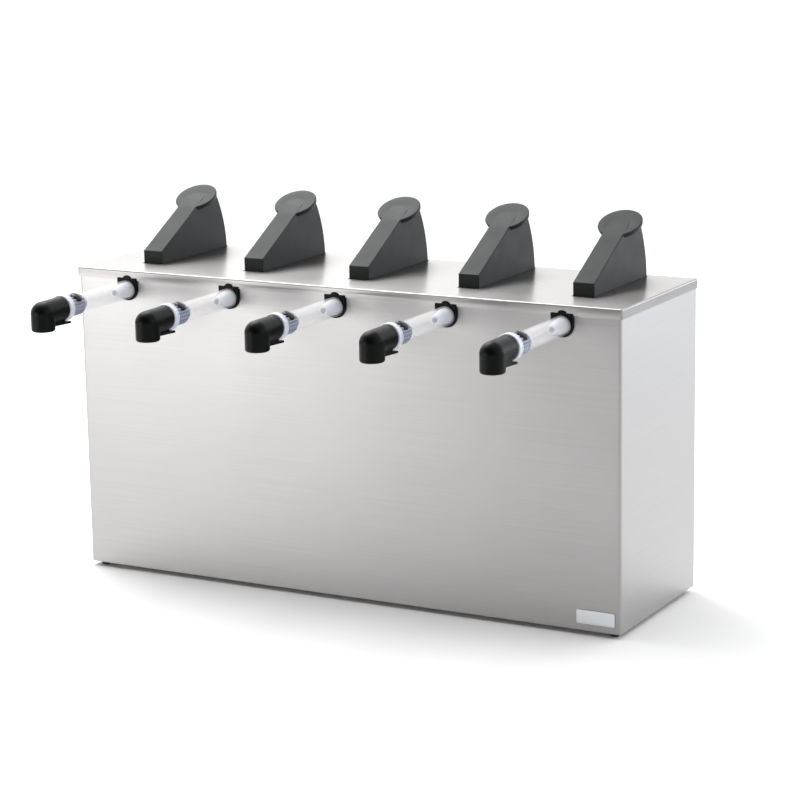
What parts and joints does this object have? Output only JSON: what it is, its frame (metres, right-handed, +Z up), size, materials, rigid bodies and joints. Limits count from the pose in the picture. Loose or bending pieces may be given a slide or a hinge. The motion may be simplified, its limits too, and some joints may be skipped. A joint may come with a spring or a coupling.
{
  "type": "condiment pump dispenser",
  "caption": "Countertop sauce dispenser: steel cabinet with a lift-off lid carrying lever pumps, each feeding a clear tube and a down-turned nozzle.",
  "frame": {"origin": "centre of the whole object's footprint box, at the underside of the feet", "axes": "+X to the object's right along its width, +Y to its back, +Z up"},
  "size_m": [0.629, 0.3526, 0.3995],
  "materials": {
    "brushed_steel": "brushed stainless sheet",
    "nameplate_metal": "satin, blank",
    "bright_steel": "drawn wire and ground pin",
    "foot_rubber": "matt",
    "lever_plastic": "satin charcoal moulding",
    "black_plastic": "satin black moulding",
    "pump_plastic": "natural white moulding",
    "pale_plastic": "translucent pale blue-white moulding",
    "clear_plastic": "clear tube"
  },
  "bodies": {
    "cabinet": {"cabinet_wrap": "brushed_steel", "back_panel": "brushed_steel", "base_pan": "brushed_steel", "nameplate": "nameplate_metal", "foot_front_left": "foot_rubber", "foot_front_right": "foot_rubber", "foot_rear_left": "foot_rubber", "foot_rear_right": "foot_rubber"},
    "lid": {"lid": "brushed_steel", "pump_body_1": "pump_plastic", "pump_body_2": "pump_plastic", "pump_body_3": "pump_plastic", "pump_body_4": "pump_plastic", "pump_body_5": "pump_plastic", "front_collar_1": "black_plastic", "front_collar_2": "black_plastic", "front_collar_3": "black_plastic", "front_collar_4": "black_plastic", "front_collar_5": "black_plastic", "discharge_tube_1": "clear_plastic", "discharge_tube_2": "clear_plastic", "discharge_tube_3": "clear_plastic", "discharge_tube_4": "clear_plastic", "discharge_tube_5": "clear_plastic", "lock_collar_1": "pale_plastic", "lock_collar_2": "pale_plastic", "lock_collar_3": "pale_plastic", "lock_collar_4": "pale_plastic", "lock_collar_5": "pale_plastic", "nozzle_1": "black_plastic", "nozzle_2": "black_plastic", "nozzle_3": "black_plastic", "nozzle_4": "black_plastic", "nozzle_5": "black_plastic", "lever_pin_1": "bright_steel", "lever_pin_2": "bright_steel", "lever_pin_3": "bright_steel", "lever_pin_4": "bright_steel", "lever_pin_5": "bright_steel"},
    "lever_1": {"lever_1": "lever_plastic"},
    "plunger_1": {"plunger_1": "pump_plastic", "return_spring_1": "bright_steel"},
    "button_1": {"lock_button_1": "black_plastic"},
    "lever_2": {"lever_2": "lever_plastic"},
    "plunger_2": {"plunger_2": "pump_plastic", "return_spring_2": "bright_steel"},
    "button_2": {"lock_button_2": "black_plastic"},
    "lever_3": {"lever_3": "lever_plastic"},
    "plunger_3": {"plunger_3": "pump_plastic", "return_spring_3": "bright_steel"},
    "button_3": {"lock_button_3": "black_plastic"},
    "lever_4": {"lever_4": "lever_plastic"},
    "plunger_4": {"plunger_4": "pump_plastic", "return_spring_4": "bright_steel"},
    "button_4": {"lock_button_4": "black_plastic"},
    "lever_5": {"lever_5": "lever_plastic"},
    "plunger_5": {"plunger_5": "pump_plastic", "return_spring_5": "bright_steel"},
    "button_5": {"lock_button_5": "black_plastic"}
  },
  "joints": [
    {"name": "lid_lift", "type": "slide", "parent": "cabinet", "child": "lid", "axis": [0, 0, 1], "range_m": [0, 0.13]},
    {"name": "lever_press_1", "type": "hinge", "parent": "lid", "child": "lever_1", "pos_m": [-0.2516, 0.04185, 0.3225], "axis": [-1, 0, 0], "range_deg": [0, 26], "stiffness_Nm_per_rad": 1.2, "springref_deg": -20.05},
    {"name": "plunger_stroke_1", "type": "slide", "parent": "lid", "child": "plunger_1", "axis": [0, 0, -1], "range_m": [0, 0.0278], "deforming": ["return_spring_1"]},
    {"name": "button_press_1", "type": "slide", "parent": "lid", "child": "button_1", "axis": [-0.4848, 0, -0.8746], "range_m": [0, 0.0015], "stiffness_N_per_m": 400, "springref_m": -0.0005},
    {"name": "lever_press_2", "type": "hinge", "parent": "lid", "child": "lever_2", "pos_m": [-0.1258, 0.04185, 0.3225], "axis": [-1, 0, 0], "range_deg": [0, 26], "stiffness_Nm_per_rad": 1.2, "springref_deg": -20.05},
    {"name": "plunger_stroke_2", "type": "slide", "parent": "lid", "child": "plunger_2", "axis": [0, 0, -1], "range_m": [0, 0.0278], "deforming": ["return_spring_2"]},
    {"name": "button_press_2", "type": "slide", "parent": "lid", "child": "button_2", "axis": [-0.4848, 0, -0.8746], "range_m": [0, 0.0015], "stiffness_N_per_m": 400, "springref_m": -0.0005},
    {"name": "lever_press_3", "type": "hinge", "parent": "lid", "child": "lever_3", "pos_m": [0, 0.04185, 0.3225], "axis": [-1, 0, 0], "range_deg": [0, 26], "stiffness_Nm_per_rad": 1.2, "springref_deg": -20.05},
    {"name": "plunger_stroke_3", "type": "slide", "parent": "lid", "child": "plunger_3", "axis": [0, 0, -1], "range_m": [0, 0.0278], "deforming": ["return_spring_3"]},
    {"name": "button_press_3", "type": "slide", "parent": "lid", "child": "button_3", "axis": [-0.4848, 0, -0.8746], "range_m": [0, 0.0015], "stiffness_N_per_m": 400, "springref_m": -0.0005},
    {"name": "lever_press_4", "type": "hinge", "parent": "lid", "child": "lever_4", "pos_m": [0.1258, 0.04185, 0.3225], "axis": [-1, 0, 0], "range_deg": [0, 26], "stiffness_Nm_per_rad": 1.2, "springref_deg": -20.05},
    {"name": "plunger_stroke_4", "type": "slide", "parent": "lid", "child": "plunger_4", "axis": [0, 0, -1], "range_m": [0, 0.0278], "deforming": ["return_spring_4"]},
    {"name": "button_press_4", "type": "slide", "parent": "lid", "child": "button_4", "axis": [-0.4848, 0, -0.8746], "range_m": [0, 0.0015], "stiffness_N_per_m": 400, "springref_m": -0.0005},
    {"name": "lever_press_5", "type": "hinge", "parent": "lid", "child": "lever_5", "pos_m": [0.2516, 0.04185, 0.3225], "axis": [-1, 0, 0], "range_deg": [0, 26], "stiffness_Nm_per_rad": 1.2, "springref_deg": -20.05},
    {"name": "plunger_stroke_5", "type": "slide", "parent": "lid", "child": "plunger_5", "axis": [0, 0, -1], "range_m": [0, 0.0278], "deforming": ["return_spring_5"]},
    {"name": "button_press_5", "type": "slide", "parent": "lid", "child": "button_5", "axis": [-0.4848, 0, -0.8746], "range_m": [0, 0.0015], "stiffness_N_per_m": 400, "springref_m": -0.0005}
  ],
  "couplings": [
    {"joint": "plunger_stroke_1", "follows": "lever_press_1", "m_per_rad": 0.061051},
    {"joint": "plunger_stroke_2", "follows": "lever_press_2", "m_per_rad": 0.061051},
    {"joint": "plunger_stroke_3", "follows": "lever_press_3", "m_per_rad": 0.061051},
    {"joint": "plunger_stroke_4", "follows": "lever_press_4", "m_per_rad": 0.061051},
    {"joint": "plunger_stroke_5", "follows": "lever_press_5", "m_per_rad": 0.061051}
  ]
}
